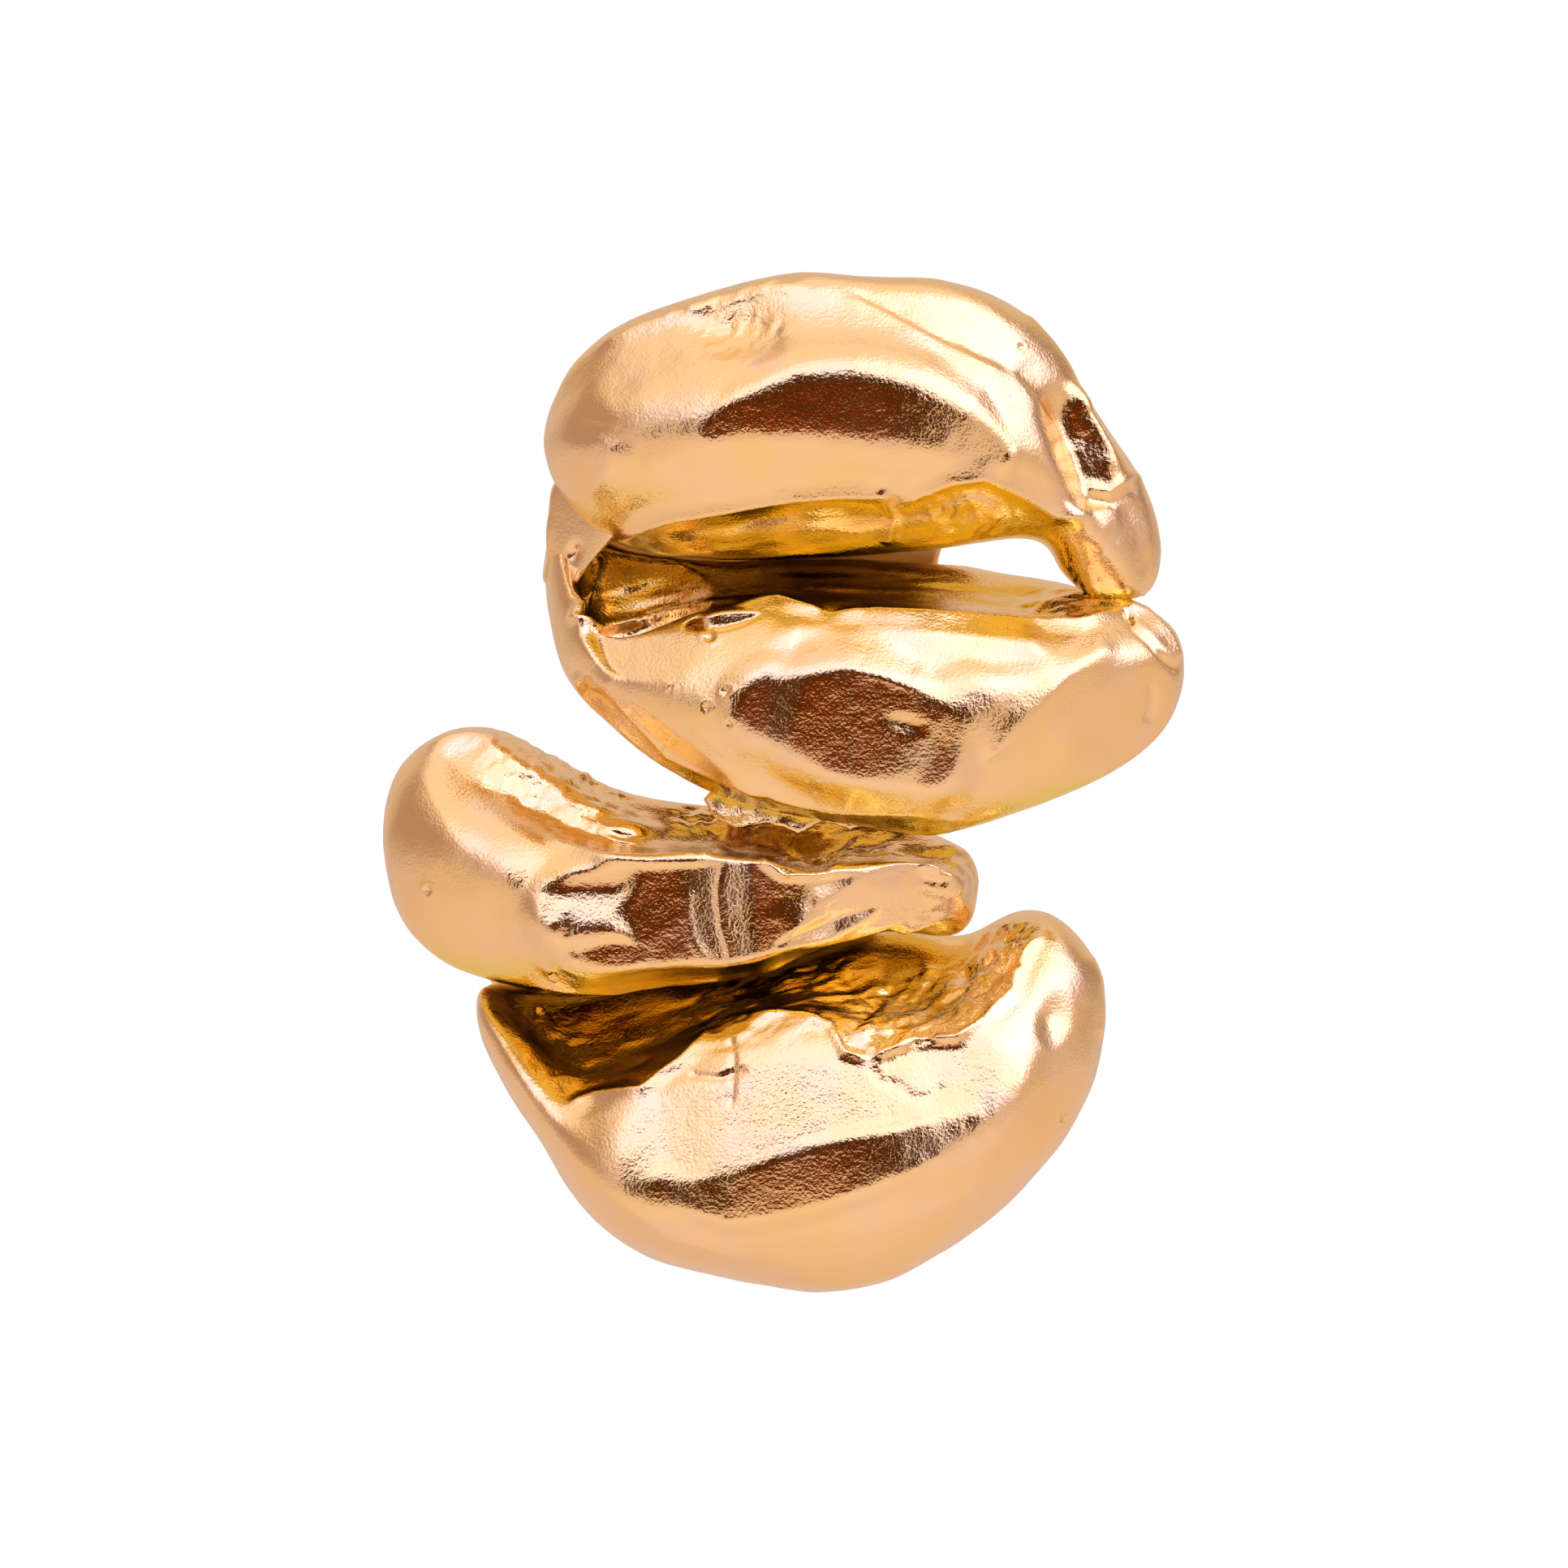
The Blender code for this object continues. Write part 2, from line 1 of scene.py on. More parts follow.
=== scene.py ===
"""Looks for a sculptural drop earring: mirror-polished gold lobes with dents, folds, creases and pits.

Every lobe starts from its packed shell. Its outer surface is made smooth and fine, and then shaped by a
list of marks. A mark's place is in the frame's X and Z, in millimetres, as seen from the
front, or in X and Y for the marks on top.
"""

import math

import bmesh
import bpy
import numpy as np
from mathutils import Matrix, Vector


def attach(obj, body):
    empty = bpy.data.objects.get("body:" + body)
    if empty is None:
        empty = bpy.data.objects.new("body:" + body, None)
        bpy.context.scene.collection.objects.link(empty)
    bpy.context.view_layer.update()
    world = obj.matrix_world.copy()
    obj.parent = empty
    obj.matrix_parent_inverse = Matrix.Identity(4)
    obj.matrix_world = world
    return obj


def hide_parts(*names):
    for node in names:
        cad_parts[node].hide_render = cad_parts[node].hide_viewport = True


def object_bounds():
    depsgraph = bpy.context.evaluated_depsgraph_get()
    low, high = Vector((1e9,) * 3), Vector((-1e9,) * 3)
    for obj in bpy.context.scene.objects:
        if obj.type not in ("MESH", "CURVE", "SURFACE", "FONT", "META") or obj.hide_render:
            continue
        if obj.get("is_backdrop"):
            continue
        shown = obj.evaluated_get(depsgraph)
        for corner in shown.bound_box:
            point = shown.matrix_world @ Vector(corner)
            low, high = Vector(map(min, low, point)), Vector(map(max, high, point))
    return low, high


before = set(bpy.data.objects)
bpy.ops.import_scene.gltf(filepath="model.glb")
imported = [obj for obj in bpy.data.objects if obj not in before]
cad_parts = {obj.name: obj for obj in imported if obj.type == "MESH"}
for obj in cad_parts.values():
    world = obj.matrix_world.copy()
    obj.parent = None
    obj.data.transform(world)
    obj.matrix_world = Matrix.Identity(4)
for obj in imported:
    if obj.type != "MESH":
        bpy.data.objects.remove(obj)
cad_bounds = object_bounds()

MM = 0.001

# The camera and the stage.
FRAME_WIDTH = 0.0966  # the width of the camera's view in the object's middle plane
MIDDLE_DEPTH = -0.009  # where that plane is along Y
CAMERA_DISTANCE = 0.8
SENSOR = 36.0  # millimetres
FLOOR_DROP = 0.058  # from the object's lowest point down to the floor
FLOOR_SIZE = 1.2
LAMP_SIZE, LAMP_POWER, LAMP_COLOUR = 0.12, 0.10, (0.72, 0.82, 1.0)
LAMP_X, LAMP_Y, LAMP_HEIGHT = 0.01, -0.11, 0.17  # the height is above the floor
BASE_LIGHT = (0.38, 0.25, 0.22)  # the colour of the surroundings outside all of their patches

# The finishes. Their noise runs from 0 to 1.
# The third gold is a painted reflection: the deeper yellow of gold mirrored in gold, laid on where the
# surface faces down.
GOLD, PALE_GOLD, PAINTED_UNDERSIDE_REFLECTION = (1.0, 0.73, 0.34), (0.98, 0.74, 0.46), (0.93, 0.80, 0.17)
MIRROR = (0.07, 0.15)  # the roughness of the polished gold
GRAIN = ((1600.0, 0.018), (5200.0, 0.030))
GRAIN_DETAIL = 2.0
BRUSHED, DRAWN = (0.05, 1.0, 1.0), (1.0, 0.05, 1.0)
ISLAND_SCALE, ISLAND_DETAIL = 260.0, 3.0
ROUGHNESS_DRIFT = (0.35, 0.70)  # the noise where the roughness starts to change and where it ends
COLOUR_DRIFT = (0.38, 0.72)  # the same for the colour
PAINTED_REFLECTION_TURN = (-0.55, -0.90)  # the normal's Z where the painted underside reflection starts and where it is full

# The meshes.
VOXEL = 0.2 * MM
WELD_DISTANCE = 0.001 * MM
RIM_ANGLE = math.radians(70)
JOIN_ANGLE, JOIN_SHAPE = math.radians(50), math.radians(60)
LOBE_ROUNDING, LOBE_RELAXING = 2, 14
SHEET_ROUNDING, SHEET_RELAXING = 0, 8

# The noise and the marks, with lengths in millimetres.
BROAD, MIDDLE, FINE = (0.22, 6.0), (0.07, 2.4), (0.012, 0.7)  # the amount and the size of unevenness
LATTICE = 32  # cells of noise along each axis before it repeats
BEND = 0.3  # how far crumpled foil's grid is bent, as a share of its size
FOIL_DETAIL, STREAK_DETAIL = 0.4, 0.5  # the size and the share of the finer noise on top
STREAK_LENGTH, STREAK_DEPTH = 0.15, 0.3  # the pace at which fine lines change, along them and in depth
LOBE_SEEDS, FINER_SEED, BACK_SHEET_SEED, CAST_SHEET_SEED = 100, 50, 700, 900
FACING = 0.3  # a mark is at full strength where the normal points at least this much towards the viewer
END_FADE, STEP_END_FADE = 0.12, 0.15  # the share of a mark's path over which it fades at each end
RELIEF_KEPT = 0.08  # the share of its own relief that a flattened band keeps
PULL_LIMIT = (1.6, 3.6)  # a flattened band pulls points nearer than the first fully, past the second not
STOPS, STOP_POINTS, STOP_WINDOW = 25, 12, 5  # how a band reads the surface's depth along its path
FAR = 99.0  # further than any lobe is wide
PRESS_REACH, PRESS_ROUNDING = 1.3, 0.02
PIT_RIM, PIT_RIM_HEIGHT = 0.35, 0.3  # shares of the pit's radius and of its depth


def material(name, colour, roughness, metallic):
    made = bpy.data.materials.new(name)
    made.use_nodes = True
    shader = made.node_tree.nodes["Principled BSDF"]
    shader.inputs["Base Color"].default_value = (*colour, 1.0)
    shader.inputs["Roughness"].default_value = roughness
    shader.inputs["Metallic"].default_value = metallic
    return made


def map_range(tree, value, limits, results=(0.0, 1.0), interpolation="LINEAR"):
    """A value's place between two limits, as a node's output between two results."""
    node = tree.nodes.new("ShaderNodeMapRange")
    node.interpolation_type = interpolation
    for socket, number in zip(("From Min", "From Max", "To Min", "To Max"), (*limits, *results)):
        node.inputs[socket].default_value = number
    tree.links.new(value, node.inputs["Value"])
    return node.outputs["Result"]


def mixed(tree, share, under, over):
    """A colour output with this share of a fixed colour over it."""
    node = tree.nodes.new("ShaderNodeMix")
    node.data_type = "RGBA"
    tree.links.new(share, node.inputs["Factor"])
    tree.links.new(under, node.inputs["A"])
    node.inputs["B"].default_value = (*over, 1.0)
    return node.outputs["Result"]


def cast_finish(name, colour, metallic, roughness, layers, worn, stretch=(1.0, 1.0, 1.0), under=None):
    """A procedural finish: roughness that drifts between two values, and bump layers of (scale, depth).

    The worn colour shows in soft islands, and the under colour, a painted reflection of gold mirrored in
    gold, where the surface faces down. The stretch draws the grain out along an axis, as brushing does.
    """
    made = material(name, colour, roughness[0], metallic)
    tree = made.node_tree
    nodes, links = tree.nodes, tree.links
    shader = nodes["Principled BSDF"]
    place = nodes.new("ShaderNodeTexCoord")
    drawn = nodes.new("ShaderNodeMapping")
    drawn.inputs["Scale"].default_value = stretch
    links.new(place.outputs["Object"], drawn.inputs["Vector"])

    def noise(scale, detail, vector):
        grain = nodes.new("ShaderNodeTexNoise")
        grain.inputs["Scale"].default_value = scale
        grain.inputs["Detail"].default_value = detail
        links.new(vector, grain.inputs["Vector"])
        return grain.outputs["Fac"]

    islands = noise(ISLAND_SCALE, ISLAND_DETAIL, place.outputs["Object"])
    links.new(map_range(tree, islands, ROUGHNESS_DRIFT, roughness), shader.inputs["Roughness"])

    tones = nodes.new("ShaderNodeValToRGB")
    for stop, position, tone in zip(tones.color_ramp.elements, COLOUR_DRIFT, (colour, worn)):
        stop.position = position
        stop.color = (*tone, 1.0)
    links.new(islands, tones.inputs["Fac"])
    surface_colour = tones.outputs["Color"]
    # Painted reflection: the gold turns a deeper yellow where the surface faces down, as gold mirrored in
    # gold looks.
    if under is not None:
        split = nodes.new("ShaderNodeSeparateXYZ")
        links.new(place.outputs["Normal"], split.inputs["Vector"])
        facing = map_range(tree, split.outputs["Z"], PAINTED_REFLECTION_TURN, interpolation="SMOOTHSTEP")
        surface_colour = mixed(tree, facing, surface_colour, under)
    links.new(surface_colour, shader.inputs["Base Color"])

    below = None
    for scale, depth in layers:
        bump = nodes.new("ShaderNodeBump")
        bump.inputs["Strength"].default_value = 1.0
        bump.inputs["Distance"].default_value = depth * MM
        links.new(noise(scale, GRAIN_DETAIL, drawn.outputs["Vector"]), bump.inputs["Height"])
        if below is not None:
            links.new(below, bump.inputs["Normal"])
        below = bump.outputs["Normal"]
    links.new(below, shader.inputs["Normal"])
    return made


def finished_mesh(bm, name):
    mesh = bpy.data.meshes.new(name)
    bm.to_mesh(mesh)
    bm.free()
    return mesh


def outer_surface(node):
    """The node's outer surface as a closed mesh: the inside walls are dropped and the opening is filled."""
    bm = bmesh.new()
    bm.from_mesh(node.data)
    bmesh.ops.remove_doubles(bm, verts=bm.verts, dist=WELD_DISTANCE)
    front = min(bm.faces, key=lambda face: face.calc_center_median().y)
    outer = {front}
    waiting = [front]
    while waiting:
        face = waiting.pop()
        for edge in face.edges:
            if edge.calc_face_angle(math.pi) > RIM_ANGLE:
                continue
            for other in edge.link_faces:
                if other not in outer:
                    outer.add(other)
                    waiting.append(other)
    bmesh.ops.delete(bm, geom=[face for face in bm.faces if face not in outer], context="FACES")
    rim = [edge for edge in bm.edges if edge.is_boundary]
    bmesh.ops.holes_fill(bm, edges=rim)
    bmesh.ops.recalc_face_normals(bm, faces=bm.faces)
    bmesh.ops.join_triangles(
        bm, faces=bm.faces, angle_face_threshold=JOIN_ANGLE, angle_shape_threshold=JOIN_SHAPE
    )
    return finished_mesh(bm, node.name)


def fine_surface(name, mesh, rounding_levels, relax_passes):
    """A smooth object with a dense, even mesh, in this mesh's shape."""
    piece = bpy.data.objects.new(name, mesh)
    bpy.context.scene.collection.objects.link(piece)
    rounding = piece.modifiers.new("rounding", "SUBSURF")
    rounding.levels = rounding.render_levels = rounding_levels
    even = piece.modifiers.new("even", "REMESH")
    even.mode = "VOXEL"
    even.voxel_size = VOXEL
    relax = piece.modifiers.new("relax", "SMOOTH")
    relax.factor = 0.5
    relax.iterations = relax_passes
    shaped = bpy.data.meshes.new_from_object(piece.evaluated_get(bpy.context.evaluated_depsgraph_get()))
    piece.modifiers.clear()
    piece.data = shaped
    shaped.shade_smooth()
    return piece


def soft_step(value, low, high):
    share = np.clip((value - low) / (high - low), 0.0, 1.0)
    return share * share * (3.0 - 2.0 * share)


def noise_lattice(seed):
    return np.random.RandomState(seed).uniform(-1.0, 1.0, (LATTICE, LATTICE, LATTICE))


def value_noise(points, size, seed):
    """Smooth noise between -1 and 1 that changes over this size, in the points' own units."""
    lattice = noise_lattice(seed)
    scaled = points / size
    cell = np.floor(scaled).astype(int)
    part = soft_step(scaled - cell, 0.0, 1.0)
    total = np.zeros(len(points))
    for corner in np.ndindex(2, 2, 2):
        weight = np.prod(np.where(corner, part, 1.0 - part), axis=1)
        i, j, k = ((cell + corner) % LATTICE).T
        total += weight * lattice[i, j, k]
    return total


def facets(points, size, seed):
    """Crumpled-foil noise between -1 and 1: flat triangles of about this size that meet at creases."""
    lattice = noise_lattice(seed)
    bend = np.stack([value_noise(points, size, seed + i) for i in (1, 2, 3)], axis=1)
    bent = points + BEND * size * bend
    scaled = bent / size
    cell = np.floor(scaled).astype(int)
    part = scaled - cell
    order = np.argsort(-part, axis=1)
    rows = np.arange(len(points))
    shares = np.take_along_axis(part, order, axis=1)
    corner = cell.copy()
    total = np.zeros(len(points))
    ends = np.ones((len(points), 1))
    weights = -np.diff(np.hstack([ends, shares, 0.0 * ends]), axis=1)
    for k in range(4):
        if k > 0:
            corner[rows, order[:, k - 1]] += 1
        i, j, m = (corner % LATTICE).T
        total += weights[:, k] * lattice[i, j, m]
    return total


def from_path(spots, path):
    """Each spot's distance from a path, which side of it the spot is on, and how far along it is."""
    best = np.full(len(spots), np.inf)
    side = np.zeros(len(spots))
    along = np.zeros(len(spots))
    path = np.array(path, float)
    lengths = np.linalg.norm(np.diff(path, axis=0), axis=1)
    for i, length in enumerate(lengths):
        step = (path[i + 1] - path[i]) / length
        offset = spots - path[i]
        reach = np.clip(offset @ step, 0.0, length)
        gap = offset - reach[:, None] * step
        distance = np.linalg.norm(gap, axis=1)
        nearer = distance < best
        best[nearer] = distance[nearer]
        side[nearer] = np.sign(step[0] * offset[nearer, 1] - step[1] * offset[nearer, 0])
        along[nearer] = (lengths[:i].sum() + reach[nearer]) / lengths.sum()
    return best, side, along


def faded(along, share):
    """1 along a path, and down to 0 over a share of it at both of its ends."""
    return soft_step(along, 0.0, share) * soft_step(1.0 - along, 0.0, share)


class Surface:
    """A piece's points in millimetres, and the marks that shape them."""

    def __init__(self, piece, seed):
        self.mesh = piece.data
        count = len(self.mesh.vertices)
        flat = np.empty(count * 3, np.float32)
        self.mesh.vertices.foreach_get("co", flat)
        self.points = flat.reshape(-1, 3).astype(float) / MM
        self.seed = seed
        self.store()

    def store(self):
        """Writes the points back to the mesh and reads its normals again."""
        self.mesh.vertices.foreach_set("co", (self.points * MM).astype(np.float32).ravel())
        self.mesh.update()
        flat = np.empty(len(self.points) * 3, np.float32)
        self.mesh.vertices.foreach_get("normal", flat)
        self.normals = flat.reshape(-1, 3).astype(float)

    def shown(self, top=False):
        """How far each point faces the front, or upwards for marks on top."""
        facing = self.normals[:, 2] if top else -self.normals[:, 1]
        return soft_step(facing, 0.0, FACING)

    def spots(self, top=False):
        """Each point's place as seen from the front, or from above for marks on top."""
        return self.points[:, [0, 1]] if top else self.points[:, [0, 2]]

    def raise_by(self, height):
        self.points += self.normals * height[:, None]
        self.store()

    def grab(self, centre, radius, offset):
        """Pulls the surface near a point in space by an offset."""
        distance = np.linalg.norm(self.points - np.array(centre), axis=1)
        weight = soft_step(1.0 - distance / radius, 0.0, 1.0)
        self.points += np.array(offset) * weight[:, None]
        self.store()

    def fold(self, path, width, height):
        """A raised line, or a crease where the height is negative, that fades towards both ends."""
        distance, _, along = from_path(self.spots(), path)
        line = np.exp(-((distance / width) ** 2))
        self.raise_by(height * line * faded(along, END_FADE) * self.shown())

    def edge(self, path, reach, height):
        """A crisp convex edge along a path, that fades towards both ends."""
        distance, _, along = from_path(self.spots(), path)
        tent = np.clip(1.0 - distance / reach, 0.0, 1.0) ** 2
        self.raise_by(height * tent * faded(along, END_FADE) * self.shown())

    def flatten(self, path, half_width, reach, tilt=0.0, ends=0.45, course=1.0):
        """A band that faces straight forward across its width, along the surface's own course.

        The tilt is how much it faces up instead: depth for each millimetre of height. The band narrows to
        a share of its width at its ends, and follows a share of the surface's own course in depth.
        """
        spots = self.spots()
        distance, _, along = from_path(spots, path)
        front = self.shown() > 0.0
        path = np.array(path, float)
        lengths = np.linalg.norm(np.diff(path, axis=0), axis=1)
        corners = np.concatenate([[0.0], np.cumsum(lengths)]) / lengths.sum()
        shares = np.linspace(0.0, 1.0, STOPS)
        stops = np.stack([np.interp(shares, corners, path[:, axis]) for axis in (0, 1)], axis=1)
        depths = []
        for stop in stops:
            gap = np.hypot(*(spots - stop).T) + np.where(front, 0.0, FAR)
            depths.append(self.points[np.argsort(gap)[:STOP_POINTS], 1].mean())
        padded = np.pad(depths, STOP_WINDOW // 2, mode="edge")
        depths = np.convolve(padded, np.ones(STOP_WINDOW) / STOP_WINDOW, mode="valid")
        depths = depths.mean() + course * (depths - depths.mean())
        level = np.interp(along, shares, depths)
        centre = np.interp(along, shares, stops[:, 1])
        target = level + tilt * (spots[:, 1] - centre)
        width = ends + (1.0 - ends) * np.sin(math.pi * along)
        band = 1.0 - soft_step(distance / width, half_width, reach)
        shift = target - self.points[:, 1]
        near = 1.0 - soft_step(np.abs(shift), *PULL_LIMIT)
        self.points[:, 1] += shift * ((1.0 - RELIEF_KEPT) * band * self.shown() * near)
        self.store()

    def step(self, path, width, height, reach):
        """A sharp change of level across a line: the left of the path's direction is raised."""
        distance, side, along = from_path(self.spots(), path)
        level = np.tanh(side * distance / width) * np.exp(-((distance / reach) ** 2))
        self.raise_by(height * 0.5 * level * faded(along, STEP_END_FADE) * self.shown())

    def inside(self, centre, radii, turn, top=False):
        """Distance from an ellipse's centre, with 1 at its edge."""
        angle = math.radians(turn)
        offset = self.spots(top) - np.array(centre)
        along = offset @ np.array([math.cos(angle), math.sin(angle)])
        across = offset @ np.array([-math.sin(angle), math.cos(angle)])
        return np.hypot(along / radii[0], across / radii[1])

    def within(self, centre, radii, turn, border, top=False):
        """1 inside an ellipse and 0 outside it; the border is the share of it that is soft."""
        return soft_step(1.0 - self.inside(centre, radii, turn, top), 0.0, border) * self.shown(top)

    def dent(self, centre, radii, turn, depth):
        """A soft hollow, or a swelling where the depth is negative."""
        self.raise_by(-depth * self.within(centre, radii, turn, 1.0))

    def press(self, centre, radii, turn, depth, lean=(0.0, 0.0)):
        """A flat pressed into the front, this deep at its centre, with an edge all round.

        The lean tips the flat: its first value turns it to the right and its second turns it up.
        """
        inside = self.inside(centre, radii, turn)
        front = self.shown() > 0.0
        middle = np.argmin(inside + np.where(front, 0.0, FAR))
        normal = self.normals[middle] + np.array([lean[0], 0.0, lean[1]])
        normal /= np.linalg.norm(normal)
        start = self.points[middle] - self.normals[middle] * depth
        above = (self.points - start) @ normal
        cut = 0.5 * (above + np.sqrt(above * above + PRESS_ROUNDING)) * front
        cut *= soft_step(PRESS_REACH - inside, 0.0, PRESS_REACH - 1.0)
        self.points -= normal * cut[:, None]
        self.store()

    def crumple(self, centre, radii, turn, amount, size, top=False, stretch=(1.0, 1.0, 1.0)):
        """Crumpled-foil unevenness inside an ellipse. A stretch below 1 draws the facets out that way."""
        self.seed += 1
        drawn = self.points * np.array(stretch)
        height = facets(drawn, size, self.seed)
        height += FOIL_DETAIL * facets(drawn, size * FOIL_DETAIL, self.seed + FINER_SEED)
        self.raise_by(amount * height * self.within(centre, radii, turn, 0.4, top))

    def streak(self, centre, radii, turn, amount, size):
        """Fine drawn-out lines along an ellipse's first radius."""
        self.seed += 1
        angle = math.radians(turn)
        along = self.spots() @ np.array([math.cos(angle), math.sin(angle)])
        across = self.spots() @ np.array([-math.sin(angle), math.cos(angle)])
        drawn = np.stack([along * STREAK_LENGTH, across, self.points[:, 1] * STREAK_DEPTH], axis=1)
        height = value_noise(drawn, size, self.seed)
        height += STREAK_DETAIL * value_noise(drawn, size * STREAK_DETAIL, self.seed + FINER_SEED)
        self.raise_by(amount * height * self.within(centre, radii, turn, 0.4))

    def pit(self, centre, radius, depth):
        """A small casting pit with a raised rim."""
        inside = self.inside(centre, (radius, radius), 0.0)
        rim = np.exp(-((inside - 1.0) / PIT_RIM) ** 2) * PIT_RIM_HEIGHT
        shape = rim - soft_step(1.0 - inside, 0.0, 0.9)
        self.raise_by(depth * shape * self.shown())

    def soften(self, centre, radii, turn, passes):
        """Relaxes the surface inside an ellipse, so that its creases run out softly."""
        ends = np.empty(len(self.mesh.edges) * 2, np.int32)
        self.mesh.edges.foreach_get("vertices", ends)
        first, second = ends.reshape(-1, 2).T
        count = len(self.points)
        neighbours = np.bincount(first, minlength=count) + np.bincount(second, minlength=count)
        share = 0.5 * self.within(centre, radii, turn, 0.5)
        for _ in range(passes):
            for axis in range(3):
                own = self.points[:, axis]
                around = np.bincount(first, own[second], count) + np.bincount(second, own[first], count)
                own += share * (around / neighbours - own)
        self.store()

    def hollow(self, centre, radii, turn, depth):
        """Sinks an upward-facing stretch of surface straight down; the centre is in X and Y."""
        self.points[:, 2] -= depth * self.within(centre, radii, turn, 0.7, top=True)
        self.store()

    def unevenness(self, amount, size):
        self.seed += 1
        self.raise_by(amount * value_noise(self.points, size, self.seed))

    def unevenness_in(self, centre, radii, turn, amount, size):
        """Smooth lumps inside an ellipse."""
        self.seed += 1
        share = self.within(centre, radii, turn, 0.5)
        self.raise_by(amount * value_noise(self.points, size, self.seed) * share)


def shape_top_lobe(lobe):
    # The end of the right arm.
    lobe.grab((18.4, -8.0, -10.8), 3.6, (-0.4, 0.0, -0.9))
    # The long dark patch across the middle, and the small one on the right shoulder.
    lobe.flatten(
        [(-6.0, -1.9), (-3.6, -0.7), (-0.5, 0.4), (2.5, 0.4), (6.0, -0.4), (9.0, -1.5), (11.8, -3.3)],
        0.8, 4.6, ends=0.3,
    )
    lobe.flatten([(16.4, -0.8), (17.2, -2.4), (17.5, -4.2)], 1.4, 3.6, ends=0.8, course=0.15)
    lobe.soften((17.0, -2.6), (4.6, 5.4), 10, 24)
    lobe.crumple((17.3, -2.6), (2.2, 3.0), 10, 0.04, 0.7)
    # The rough dent at the top left, and the creases that run down from the top.
    lobe.dent((-4.3, 4.4), (4.2, 2.3), 8, 0.60)
    lobe.crumple((-4.3, 4.4), (3.9, 2.0), 8, 0.06, 0.5)
    lobe.unevenness_in((-4.3, 4.4), (4.4, 2.4), 8, 0.10, 1.3)
    lobe.edge([(-13.6, 3.2), (-11.0, 4.6), (-7.4, 5.9), (-3.2, 7.2), (0.0, 7.3)], 0.9, 0.25)
    lobe.crumple((-5.5, 7.0), (7.0, 1.1), 14, 0.14, 1.2)
    lobe.step([(1.8, 7.1), (5.2, 5.4), (8.1, 3.8), (11.2, 2.5), (12.6, 1.7)], 0.18, -0.24, 1.8)
    lobe.streak((6.6, 4.8), (5.6, 0.7), -27, 0.03, 0.25)
    lobe.step([(12.2, 2.3), (14.0, 0.2), (15.2, -1.5), (15.5, -3.0)], 0.18, -0.22, 1.4)
    lobe.edge([(12.9, 6.0), (15.0, 3.6), (16.6, 1.4), (17.6, -0.4)], 1.0, 0.30)
    lobe.edge([(16.6, -5.0), (18.4, -5.3), (19.9, -4.1), (21.2, -5.0)], 0.8, 0.24)
    lobe.fold([(16.8, -5.7), (18.6, -6.0), (20.2, -5.0)], 0.3, -0.18)
    lobe.crumple((19.0, -7.6), (2.4, 3.6), 20, 0.10, 1.6)
    # The wavy edge where the front turns under, and the streaked underside.
    lobe.edge(
        [(-12.4, -8.6), (-10.6, -7.6), (-8.6, -6.9), (-4.9, -6.3), (-1.1, -5.7), (1.8, -5.5), (5.6, -5.5)],
        1.3, 0.55,
    )
    lobe.edge(
        [(4.8, -6.3), (6.4, -5.6), (8.6, -4.7), (10.6, -4.4), (12.7, -5.3), (15.0, -6.6), (17.7, -7.0)],
        1.2, 0.50,
    )
    lobe.streak((-2.0, -8.0), (12.0, 2.2), 4, 0.10, 0.9)
    lobe.crumple((9.6, -6.8), (4.0, 1.8), -8, 0.14, 0.9, stretch=(1.0, 0.4, 0.5))
    lobe.fold([(4.2, -5.2), (5.0, -6.8), (4.6, -8.6)], 0.4, 0.25)
    # The bulge at the left end.
    lobe.dent((-12.4, -4.2), (3.4, 3.2), 0, -0.30)
    lobe.dent((-14.0, -1.2), (2.4, 1.6), 20, 0.20)
    lobe.step([(-15.2, -1.0), (-13.4, -1.1), (-11.6, -1.5), (-10.2, -2.8), (-9.8, -4.8)], 0.35, 0.14, 1.8)
    lobe.fold([(-13.9, -5.8), (-12.6, -4.2), (-12.4, -2.8), (-13.4, -1.8)], 0.5, 0.10)
    lobe.unevenness_in((-12.6, 0.6), (4.6, 4.0), 30, 0.12, 2.6)
    lobe.unevenness_in((-4.0, -3.6), (11.0, 2.6), 4, 0.05, 2.0)
    lobe.pit((12.9, 3.6), 0.28, 0.22)
    lobe.pit((-1.7, -5.2), 0.16, 0.15)


